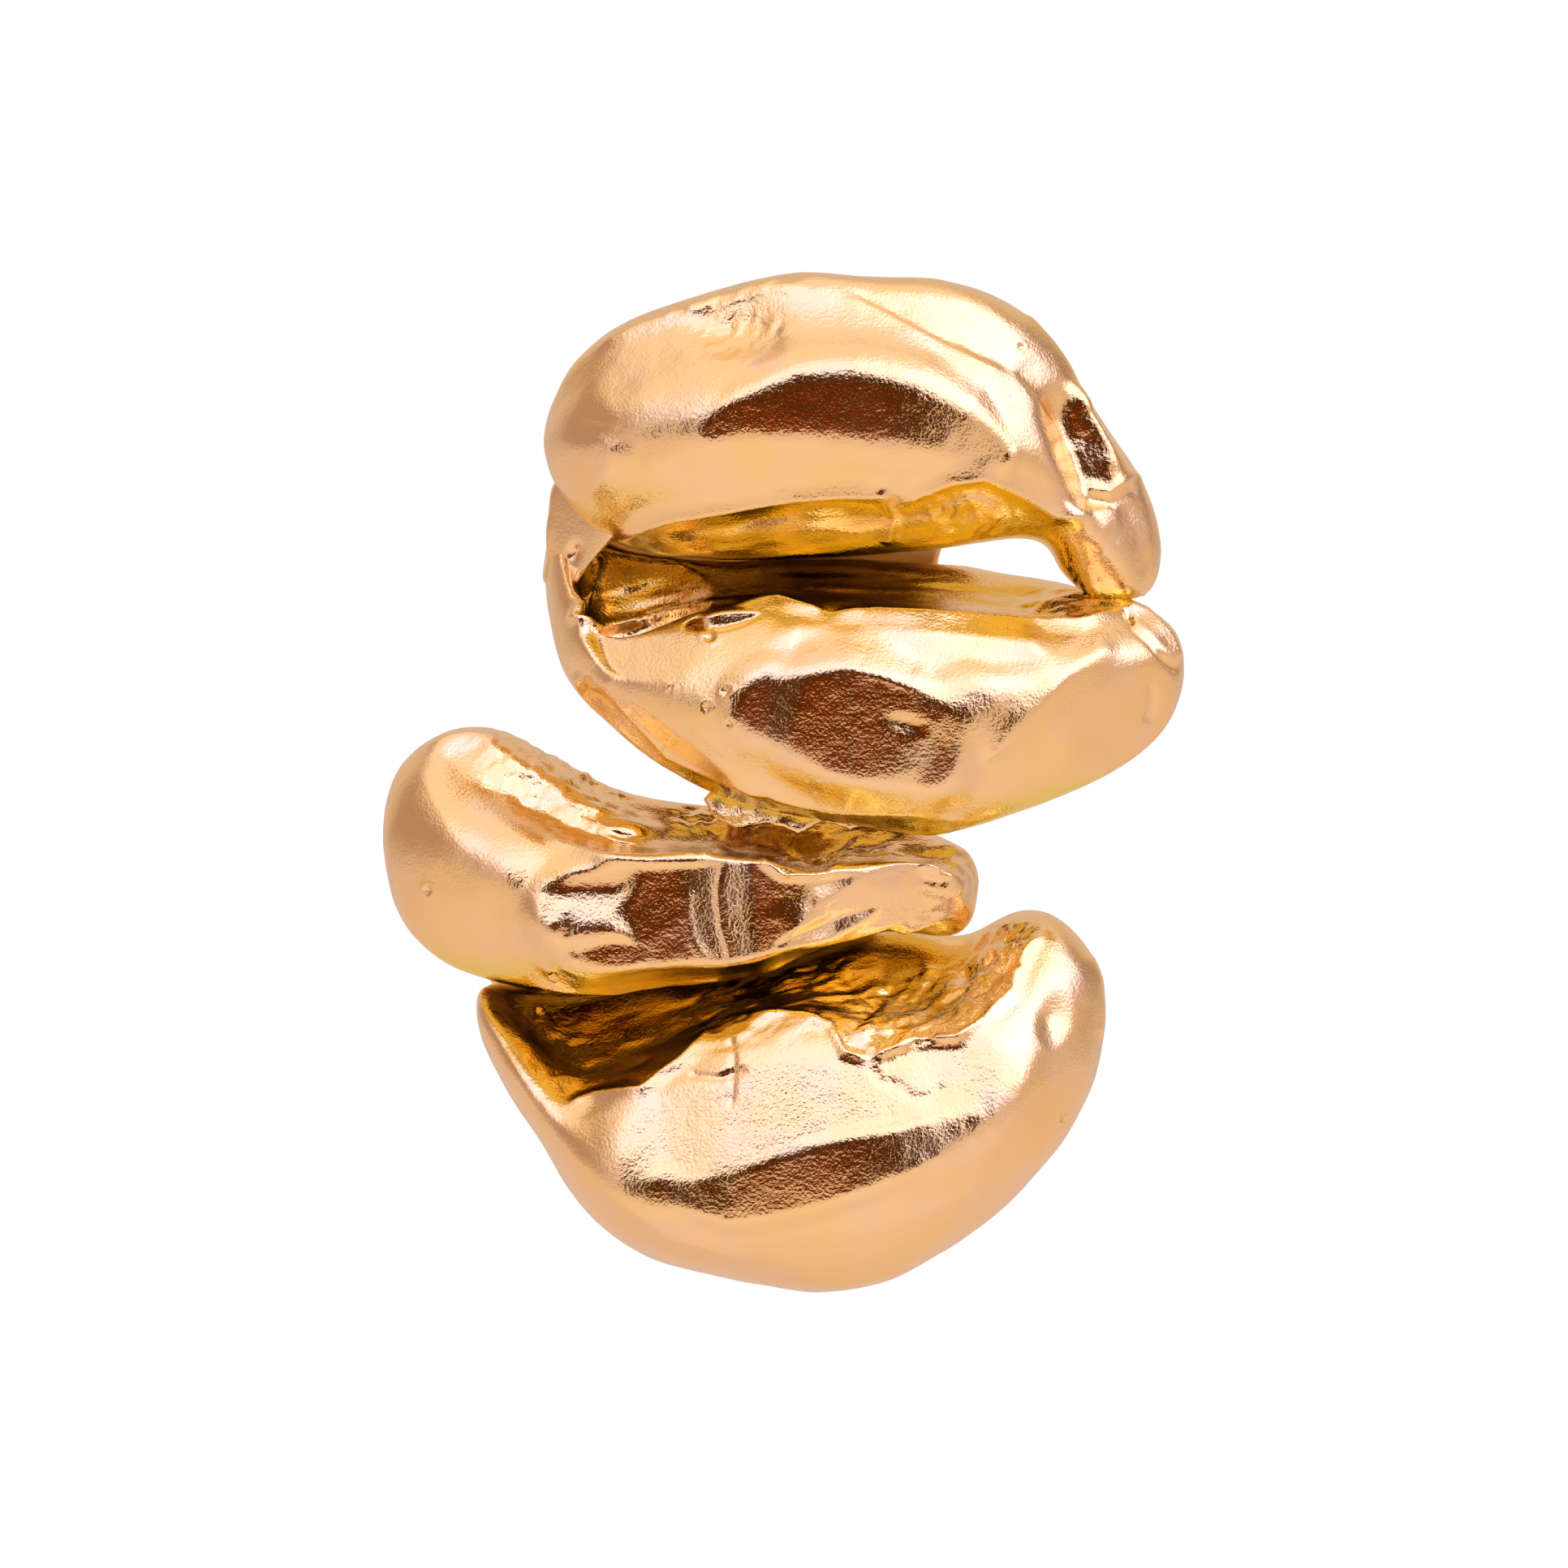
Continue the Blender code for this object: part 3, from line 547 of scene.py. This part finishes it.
def shape_second_lobe(lobe):
    # Its right tip, and its lower lip, which the third lobe passes closely when the lower drop swings.
    lobe.grab((19.6, -7.6, -11.6), 2.6, (0.0, 0.0, 0.5))
    lobe.grab((6.2, -11.0, -25.8), 3.4, (0.0, 0.3, -0.1))
    # The deep mouth at the left and the rim along the whole lobe.
    lobe.hollow((-10.6, -8.6), (4.9, 4.6), -12, 3.8)
    lobe.flatten([(-1.0, -14.8), (4.0, -14.8), (9.0, -15.0), (13.0, -15.2)], 0.5, 2.4, tilt=0.34, ends=0.8)
    lobe.edge(
        [(-13.0, -9.0), (-13.8, -11.0), (-14.5, -13.1), (-13.2, -13.6), (-11.4, -13.3), (-10.0, -13.0)],
        0.7, 0.55,
    )
    lobe.edge(
        [(-11.0, -13.2), (-8.6, -12.6), (-4.9, -12.2), (-1.9, -12.1), (-0.3, -12.6), (1.4, -13.0)],
        0.7, 0.50,
    )
    lobe.edge(
        [(0.4, -13.0), (3.9, -12.8), (6.4, -12.9), (10.2, -13.2), (13.1, -13.4), (16.5, -13.4),
         (18.6, -12.8), (19.6, -12.2)],
        0.8, 0.45,
    )
    lobe.flatten([(-7.4, -13.6), (-5.4, -13.2), (-3.4, -12.9)], 0.35, 0.8)
    lobe.streak((-10.0, -11.0), (4.0, 2.2), 12, 0.10, 0.5)
    lobe.streak((5.0, -11.6), (14.0, 1.5), -3, 0.10, 0.7)
    lobe.crumple((15.4, -12.1), (3.6, 1.1), 4, 0.14, 1.1)
    # The folds and facets of the front.
    lobe.step([(-0.6, -13.4), (-1.3, -15.4), (-3.0, -17.2), (-4.6, -20.6)], 0.35, -0.24, 2.0)
    lobe.edge([(18.8, -14.4), (17.6, -15.4), (15.4, -16.9), (13.0, -19.4), (10.2, -22.2)], 1.4, 0.40)
    lobe.press((18.6, -18.4), (4.6, 3.0), 42, 0.35, lean=(0.20, -0.20))
    lobe.unevenness_in((15.0, -20.0), (8.0, 4.0), 40, 0.07, 2.2)
    lobe.soften((19.6, -18.4), (5.6, 5.0), 40, 30)
    lobe.press((-9.0, -15.6), (4.2, 2.4), -30, 0.25, lean=(-0.10, 0.10))
    lobe.edge([(19.2, -12.2), (20.6, -12.6), (22.2, -14.2), (22.7, -15.8)], 0.8, 0.35)
    lobe.fold([(19.4, -12.2), (19.8, -13.5), (20.9, -14.4), (21.8, -15.6), (22.8, -16.4)], 0.22, -0.40)
    lobe.fold([(20.9, -16.9), (21.1, -18.2), (20.7, -19.6)], 0.35, -0.20)
    # The dark patch, with a light hollow and a light swelling beside it.
    lobe.flatten([(-2.6, -18.6), (1.6, -19.2), (4.4, -20.4), (7.2, -22.0)], 2.2, 6.0, ends=0.6)
    lobe.press((3.4, -20.0), (7.6, 2.9), -19, 0.30)
    lobe.soften((7.6, -20.6), (3.4, 3.6), -30, 14)
    lobe.dent((5.8, -19.6), (1.9, 0.8), -12, 0.14)
    lobe.dent((10.0, -16.6), (2.8, 1.6), -30, -0.26)
    lobe.soften((11.4, -17.8), (3.8, 3.4), 0, 24)
    # The edge above the yellow underside, which slopes away below it.
    lobe.flatten(
        [(-14.0, -17.8), (-11.8, -19.5), (-9.4, -21.7), (-6.2, -23.5)], 0.9, 1.9, tilt=-1.3, ends=0.8
    )
    lobe.edge(
        [(-14.6, -16.8), (-12.4, -17.2), (-10.8, -19.1), (-8.7, -21.4), (-4.9, -23.1), (-2.0, -24.2)],
        1.2, 0.45,
    )
    lobe.edge([(-3.4, -23.6), (-1.1, -24.3), (1.4, -24.8), (6.4, -24.9), (9.6, -25.5)], 1.1, 0.40)
    lobe.streak((-6.0, -22.6), (9.0, 1.8), -38, 0.10, 0.8)
    for place, radius in (
        ((-6.2, -14.2), 0.5),
        ((-5.2, -17.6), 0.34),
        ((-8.6, -17.4), 0.22),
        ((-6.4, -18.6), 0.34),
        ((-5.0, -19.6), 0.3),
    ):
        lobe.pit(place, radius, 0.22)


def shape_third_lobe(lobe):
    # Its blunt right end.
    lobe.grab((8.2, -8.0, -31.2), 4.2, (0.9, 0.0, -1.4))
    lobe.grab((9.4, -8.0, -28.0), 3.0, (0.3, 0.0, 0.2))
    # Its top at the left, which faces up and forward.
    lobe.flatten(
        [(-21.2, -20.6), (-18.3, -23.0), (-15.2, -25.0), (-12.4, -26.2)], 1.6, 5.4, tilt=0.34, ends=0.7
    )
    # The right half, which faces a little down.
    lobe.flatten([(0.4, -31.0), (3.0, -30.4), (7.0, -29.6)], 1.2, 4.2, tilt=-0.45, ends=1.0)
    # The dark middle, on both sides of its crease, with a cream island at its left and a dark spot below
    # the island.
    lobe.flatten([(-12.8, -31.5), (-10.0, -31.0), (-6.4, -31.0), (-3.4, -30.6)], 3.4, 6.0, ends=0.85)
    lobe.flatten([(-15.4, -31.0), (-12.6, -30.9), (-10.2, -31.2)], 0.7, 2.7, tilt=0.34, ends=1.0)
    lobe.soften((-13.6, -30.8), (5.2, 2.2), 0, 12)
    lobe.flatten([(-13.4, -33.6), (-10.4, -33.7)], 0.6, 1.3, ends=0.6)
    lobe.crumple((-16.4, -32.6), (2.8, 3.2), 10, 0.12, 1.8)
    lobe.flatten([(-8.4, -31.2), (-5.8, -31.0), (-3.4, -30.8)], 2.8, 4.4, ends=0.9)
    lobe.fold([(-5.2, -27.2), (-5.7, -29.6), (-5.5, -32.0), (-4.7, -34.6)], 0.14, -0.08)
    lobe.fold([(-7.4, -29.6), (-7.6, -31.2), (-7.2, -32.8), (-6.2, -34.4)], 0.34, 0.07)
    # The folds along its top.
    lobe.edge([(-22.6, -19.8), (-22.8, -22.0), (-20.6, -24.2), (-18.1, -25.9), (-15.4, -27.5)], 1.8, 0.22)
    lobe.soften((-18.0, -23.6), (7.4, 4.0), -40, 40)
    lobe.edge([(-16.6, -26.6), (-12.9, -27.8), (-9.5, -27.9), (-6.6, -27.7), (-4.8, -27.1)], 0.8, 0.38)
    lobe.dent((-12.0, -26.1), (3.9, 1.1), -4, -0.40)
    lobe.unevenness_in((-18.6, -22.8), (4.6, 2.6), -40, 0.07, 1.9)
    lobe.crumple((-15.0, -22.2), (5.6, 1.3), -34, 0.16, 0.9)
    lobe.crumple((-5.0, -25.6), (4.6, 1.8), -4, 0.25, 1.3)
    lobe.crumple((-15.5, -8.0), (6.5, 5.5), 0, 0.16, 1.1, top=True)
    lobe.crumple((-1.0, -9.5), (9.0, 5.0), 0, 0.20, 1.5, top=True)
    # The dished facet and the crumpled right half.
    lobe.dent((-0.4, -27.4), (3.1, 1.5), -6, 0.60)
    lobe.edge([(-3.4, -27.6), (-1.6, -28.9), (1.0, -28.9), (2.6, -27.4)], 0.6, 0.30)
    lobe.crumple((3.2, -30.6), (6.8, 3.6), 18, 0.24, 2.6, stretch=(0.6, 1.0, 1.2))
    lobe.flatten([(-1.8, -33.2), (1.2, -32.2), (3.8, -31.0)], 0.35, 1.0)
    lobe.flatten([(-2.4, -29.6), (0.2, -30.0), (2.4, -29.2)], 0.45, 1.2)
    lobe.crumple((8.6, -28.6), (2.6, 2.0), -20, 0.22, 1.3)
    lobe.soften((-6.0, -27.4), (6.6, 1.0), 0, 14)
    # The edge above the thin yellow underside.
    lobe.edge(
        [(-18.0, -35.6), (-12.0, -35.8), (-6.0, -35.0), (-1.0, -34.2), (4.0, -32.6), (9.6, -31.0)],
        0.9, 0.45,
    )
    # Its top is lowered here, so that it clears the second lobe when the lower drop swings forward.
    lobe.grab((7.0, -10.9, -27.2), 3.2, (0.0, 0.0, -0.45))
    lobe.pit((-23.5, -29.8), 0.36, 0.25)
    lobe.pit((-15.8, -35.0), 0.25, 0.2)


def shape_fourth_lobe(lobe):
    # The wide light area, which faces a little up, and the dark patch below it.
    lobe.flatten(
        [(-9.0, -44.6), (-4.0, -43.8), (0.0, -43.0), (5.0, -42.6), (9.0, -41.0)],
        1.8, 6.6, tilt=0.32, ends=1.0,
    )
    lobe.flatten(
        [(-9.6, -47.5), (-7.4, -48.4), (-4.9, -48.8), (-1.4, -47.9), (2.0, -46.8), (5.9, -45.5),
         (10.2, -43.5)],
        1.3, 2.8, ends=0.25,
    )
    lobe.soften((9.6, -43.8), (3.0, 2.4), 24, 16)
    lobe.soften((-9.6, -47.6), (2.6, 2.0), -30, 16)
    # The broken front edge of its top.
    lobe.edge([(-15.4, -43.2), (-13.4, -42.4), (-10.4, -41.9), (-7.9, -40.1), (-5.5, -37.9)], 0.9, 0.40)
    lobe.edge(
        [(-6.2, -38.3), (-4.4, -37.7), (-0.6, -37.5), (1.1, -38.1), (2.0, -39.6), (3.7, -40.2)], 0.7, 0.40
    )
    lobe.edge(
        [(3.0, -40.2), (6.3, -39.0), (8.9, -38.8), (10.6, -37.5), (12.3, -36.0), (13.1, -33.6),
         (14.6, -32.0)],
        0.8, 0.42,
    )
    lobe.fold([(1.7, -37.6), (1.6, -38.6), (2.2, -39.2), (3.3, -39.5), (3.9, -40.4)], 0.30, -0.07)
    lobe.fold(
        [(3.6, -40.3), (4.2, -41.4), (5.4, -41.7), (6.2, -42.4), (7.4, -42.4), (8.4, -41.5)], 0.32, -0.07
    )
    lobe.fold([(-5.0, -38.2), (-4.7, -40.0), (-4.9, -43.2)], 0.16, -0.12)
    lobe.fold([(-7.6, -41.0), (-5.6, -41.2), (-3.8, -40.6)], 0.25, -0.14)
    # Its crumpled top.
    lobe.streak((-10.0, -39.6), (8.0, 3.0), 16, 0.14, 0.9)
    lobe.crumple((-2.0, -36.6), (8.0, 2.6), 14, 0.22, 1.4, stretch=(0.7, 1.0, 1.0))
    lobe.crumple((7.0, -37.0), (6.4, 2.8), 20, 0.30, 1.2)
    lobe.crumple((12.0, -33.4), (2.6, 2.0), 40, 0.22, 0.9)
    lobe.crumple((-15.4, -39.6), (4.2, 2.6), -50, 0.12, 1.5)
    # The dent and the fold on the right.
    lobe.dent((14.9, -37.6), (1.5, 2.2), -8, 0.40)
    lobe.edge([(17.3, -33.4), (18.4, -36.0), (18.2, -39.0)], 1.0, 0.30)
    # The soft edge along its lower left.
    lobe.edge([(-19.0, -39.0), (-16.4, -43.8), (-12.6, -47.8), (-8.6, -50.8), (-3.0, -52.4)], 1.8, 0.25)
    lobe.unevenness_in((9.0, -47.0), (9.0, 5.0), 40, 0.03, 0.8)
    lobe.pit((15.5, -43.8), 0.26, 0.2)
    lobe.pit((-16.8, -37.4), 0.35, 0.25)


def cast_sheet(name, outline, near, far, bow):
    """A thin cast piece: an outline in X and Z between two depths, bowed forward in its middle."""
    bm = bmesh.new()
    front = [bm.verts.new((x * MM, near * MM, z * MM)) for x, z in outline]
    back = [bm.verts.new((x * MM, far * MM, z * MM)) for x, z in outline]
    bm.faces.new(front)
    bm.faces.new(back[::-1])
    for i in range(len(outline)):
        j = (i + 1) % len(outline)
        bm.faces.new((front[i], back[i], back[j], front[j]))
    bmesh.ops.recalc_face_normals(bm, faces=bm.faces)
    sheet = fine_surface(name, finished_mesh(bm, name), SHEET_ROUNDING, SHEET_RELAXING)
    surface = Surface(sheet, CAST_SHEET_SEED)
    middle = np.mean(outline, axis=0)
    reach = np.max(np.linalg.norm(np.array(outline) - middle, axis=1))
    offset = np.linalg.norm(surface.spots() - middle, axis=1) / reach
    surface.points[:, 1] -= bow * np.clip(1.0 - offset**2, 0.0, 1.0)
    surface.store()
    return sheet, surface


def stage():
    """The plain floor under the piece."""
    low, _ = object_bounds()
    bpy.ops.mesh.primitive_plane_add(size=FLOOR_SIZE, location=(0.0, 0.0, low[2] - FLOOR_DROP))
    floor = bpy.context.object
    floor.name = "floor"
    paint = cast_finish(
        "pale_floor", (0.80, 0.70, 0.52), 0.0, (0.7, 0.9), ((900.0, 0.05),), worn=(0.79, 0.68, 0.51)
    )
    floor.data.materials.append(paint)
    floor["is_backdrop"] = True


def floor_light():
    """A soft pool of light on the floor in front, which brightens what the piece's lower faces mirror."""
    low, _ = cad_bounds
    lamp = bpy.data.lights.new("floor_light", "AREA")
    lamp.size = LAMP_SIZE
    lamp.energy = LAMP_POWER
    lamp.color = LAMP_COLOUR
    light = bpy.data.objects.new("floor_light", lamp)
    light.location = (LAMP_X, LAMP_Y, low[2] - FLOOR_DROP + LAMP_HEIGHT)
    light.visible_camera = False
    light.visible_glossy = False
    bpy.context.scene.collection.objects.link(light)


def camera():
    """The view straight from the front, at the middle of the piece."""
    low, high = cad_bounds
    centre = Vector(((low[0] + high[0]) / 2, MIDDLE_DEPTH, (low[2] + high[2]) / 2))
    lens = bpy.data.cameras.new("camera")
    lens.sensor_width = SENSOR
    lens.lens = SENSOR * CAMERA_DISTANCE / FRAME_WIDTH
    view = bpy.data.objects.new("camera", lens)
    view.location = centre + Vector((0.0, -CAMERA_DISTANCE, 0.0))
    view.rotation_euler = (math.radians(90), 0.0, 0.0)
    bpy.context.scene.collection.objects.link(view)
    bpy.context.scene.camera = view


def surroundings():
    """A soft studio: bright in front and overhead, warmer behind and to the left, and dark at the camera.

    Each patch of it is a direction, the angles where the patch is full and where it ends, and a colour.
    """
    patches = (
        ((0.1, -1.0, 0.2), 40, 105, (0.96, 0.78, 0.82)),
        ((0.0, -0.6, -1.0), 20, 75, (0.66, 0.44, 0.34)),
        ((1.0, -0.4, -0.15), 20, 60, (0.72, 0.52, 0.52)),
        ((-1.0, 0.1, 0.2), 28, 80, (0.48, 0.31, 0.27)),
        ((0.0, 1.0, 0.5), 20, 60, (0.74, 0.56, 0.44)),
        ((0.0, 0.0, -1.0), 76, 108, (0.70, 0.53, 0.47)),
        ((0.1, -0.3, 1.0), 25, 62, (1.06, 0.85, 0.78)),
        ((0.1, -0.8, 0.60), 16, 42, (1.35, 1.22, 1.7)),
        ((0.65, -0.35, 0.65), 12, 38, (1.7, 1.6, 2.3)),
        ((0.0, -1.0, 0.0), 22, 30, (0.075, 0.024, 0.003)),
        ((0.0, -1.0, -0.07), 2, 9, (0.30, 0.045, 0.01)),
    )
    world = bpy.data.worlds.new("studio")
    world.use_nodes = True
    bpy.context.scene.world = world
    tree = world.node_tree
    nodes, links = tree.nodes, tree.links
    nodes.clear()
    place = nodes.new("ShaderNodeTexCoord")
    base = nodes.new("ShaderNodeRGB")
    base.outputs[0].default_value = (*BASE_LIGHT, 1.0)
    so_far = base.outputs[0]
    for direction, full, end, tint in patches:
        towards = nodes.new("ShaderNodeVectorMath")
        towards.operation = "DOT_PRODUCT"
        towards.inputs[1].default_value = Vector(direction).normalized()
        links.new(place.outputs["Generated"], towards.inputs[0])
        limits = math.cos(math.radians(end)), math.cos(math.radians(full))
        share = map_range(tree, towards.outputs["Value"], limits, interpolation="SMOOTHSTEP")
        so_far = mixed(tree, share, so_far, tint)

    mirrored = nodes.new("ShaderNodeBackground")
    links.new(so_far, mirrored.inputs["Color"])
    plain = nodes.new("ShaderNodeBackground")
    plain.inputs["Color"].default_value = (1.0, 1.0, 1.0, 1.0)
    path = nodes.new("ShaderNodeLightPath")
    choose = nodes.new("ShaderNodeMixShader")
    links.new(path.outputs["Is Camera Ray"], choose.inputs["Fac"])
    links.new(mirrored.outputs[0], choose.inputs[1])
    links.new(plain.outputs[0], choose.inputs[2])
    result = nodes.new("ShaderNodeOutputWorld")
    links.new(choose.outputs[0], result.inputs["Surface"])


# The first gold carries the painted underside reflection; the second is the same gold without it, for the
# lowest lobe.
polished = cast_finish("polished_gold", GOLD, 1.0, MIRROR, GRAIN, worn=PALE_GOLD, under=PAINTED_UNDERSIDE_REFLECTION)
polished_low = cast_finish("polished_gold_low", GOLD, 1.0, MIRROR, GRAIN, worn=PALE_GOLD)


def finish_casting(piece, body, finish=polished):
    piece.data.materials.clear()
    piece.data.materials.append(finish)
    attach(piece, body)


def lobes():
    """The skins of the four lobes."""
    for seed, (node_name, body, shape) in enumerate((
        ("top_lobe_shell", "upper_drop", shape_top_lobe),
        ("second_lobe_shell", "upper_drop", shape_second_lobe),
        ("third_lobe_shell", "lower_drop", shape_third_lobe),
        ("fourth_lobe_shell", "lower_drop", shape_fourth_lobe),
    )):
        outside = outer_surface(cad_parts[node_name])
        lobe = fine_surface(node_name.replace("_shell", "_skin"), outside, LOBE_ROUNDING, LOBE_RELAXING)
        surface = Surface(lobe, seed * LOBE_SEEDS)
        surface.unevenness(*BROAD)
        surface.unevenness(*MIDDLE)
        shape(surface)
        surface.unevenness(*FINE)
        finish_casting(lobe, body, polished_low if node_name == "fourth_lobe_shell" else polished)
        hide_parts(node_name)


def left_wall():
    """The wall that joins the two upper lobes at their left ends. It leans back towards its left."""
    wall, surface = cast_sheet(
        "left_wall",
        [(-15.0, -3.4), (-15.9, -5.0), (-16.3, -7.4), (-16.7, -10.6), (-15.6, -12.4), (-13.4, -9.6),
         (-11.6, -7.4), (-12.6, -4.6)],
        near=-8.8, far=-5.6, bow=0.7,
    )
    surface.points[:, 1] -= 0.75 * (surface.points[:, 0] + 14.0)
    surface.store()
    surface.unevenness(0.25, 2.4)
    surface.dent((-14.6, -9.0), (1.0, 0.6), 70, 0.5)
    surface.unevenness(*FINE)
    finish_casting(wall, "upper_drop")


def lip_leaf():
    """The torn leaf under the second lobe's lip, which hides the hinge. It leans forward below."""
    leaf, surface = cast_sheet(
        "lip_leaf",
        [(-4.6, -22.6), (-1.0, -23.2), (3.0, -24.0), (3.6, -25.6), (2.4, -26.0), (0.6, -25.5),
         (-0.8, -26.2), (-2.6, -25.7), (-4.4, -26.1), (-6.0, -25.3), (-6.6, -24.2), (-5.8, -23.2)],
        near=-12.0, far=-11.2, bow=0.5,
    )
    surface.points[:, 1] += 0.35 * (surface.points[:, 2] + 24.5)
    surface.store()
    surface.crumple((-1.4, -24.8), (7.0, 3.0), -8, 0.24, 2.1)
    surface.unevenness(*FINE)
    finish_casting(leaf, "upper_drop")


def back_sheets():
    """The back plates with rounded edges, grown in front and at the rear to meet the lobes and the post.

    How much they grow is in millimetres.
    """
    satin = cast_finish(
        "satin_plate", (0.96, 0.70, 0.36), 1.0, (0.26, 0.38), ((2600.0, 0.012), (700.0, 0.010)),
        worn=(0.90, 0.62, 0.33), stretch=BRUSHED,
    )
    for seed, (plate_name, body, front, rear) in enumerate((
        ("upper_back_plate", "upper_drop", 0.38, 0.34),
        ("lower_back_plate", "lower_drop", 0.38, 0.0),
    )):
        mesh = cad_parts[plate_name].data.copy()
        middle = np.mean([vertex.co.y for vertex in mesh.vertices])
        for vertex in mesh.vertices:
            vertex.co.y += rear * MM if vertex.co.y > middle else -front * MM
        sheet = fine_surface(plate_name.replace("_plate", "_sheet"), mesh, SHEET_ROUNDING, SHEET_RELAXING)
        surface = Surface(sheet, BACK_SHEET_SEED + seed)
        surface.unevenness(0.05, 3.4)
        surface.unevenness(0.012, 0.9)
        sheet.data.materials.clear()
        sheet.data.materials.append(satin)
        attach(sheet, body)
        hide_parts(plate_name)


def small_parts():
    """The finishes of the other CAD pieces, which already have their true shape."""
    tumbled = cast_finish(
        "tumbled_hinge", (0.92, 0.64, 0.34), 1.0, (0.22, 0.36), ((3000.0, 0.010),), worn=(0.62, 0.38, 0.18)
    )
    bright = cast_finish(
        "bright_post", (0.98, 0.76, 0.42), 1.0, (0.12, 0.22), ((2600.0, 0.006),), worn=(0.93, 0.70, 0.40),
        stretch=DRAWN,
    )
    silicone = cast_finish(
        "silicone", (0.90, 0.89, 0.86), 0.0, (0.32, 0.45), ((1500.0, 0.010),), worn=(0.84, 0.83, 0.80)
    )
    for socket, value in (
        ("Subsurface Weight", 0.4),
        ("Subsurface Radius", (0.002, 0.002, 0.002)),
        ("Transmission Weight", 0.25),
    ):
        silicone.node_tree.nodes["Principled BSDF"].inputs[socket].default_value = value
    for names, look in (
        (("hinge_lug_left", "hinge_lug_right", "hinge_knuckle", "hinge_pin"), tumbled),
        (("ear_post", "clutch_scroll"), bright),
        (("clutch_disc",), silicone),
    ):
        for node_name in names:
            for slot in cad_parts[node_name].material_slots:
                slot.material = look


lobes()
left_wall()
lip_leaf()
back_sheets()
small_parts()
stage()
floor_light()
camera()
surroundings()
bpy.context.scene.view_settings.view_transform = "Standard"
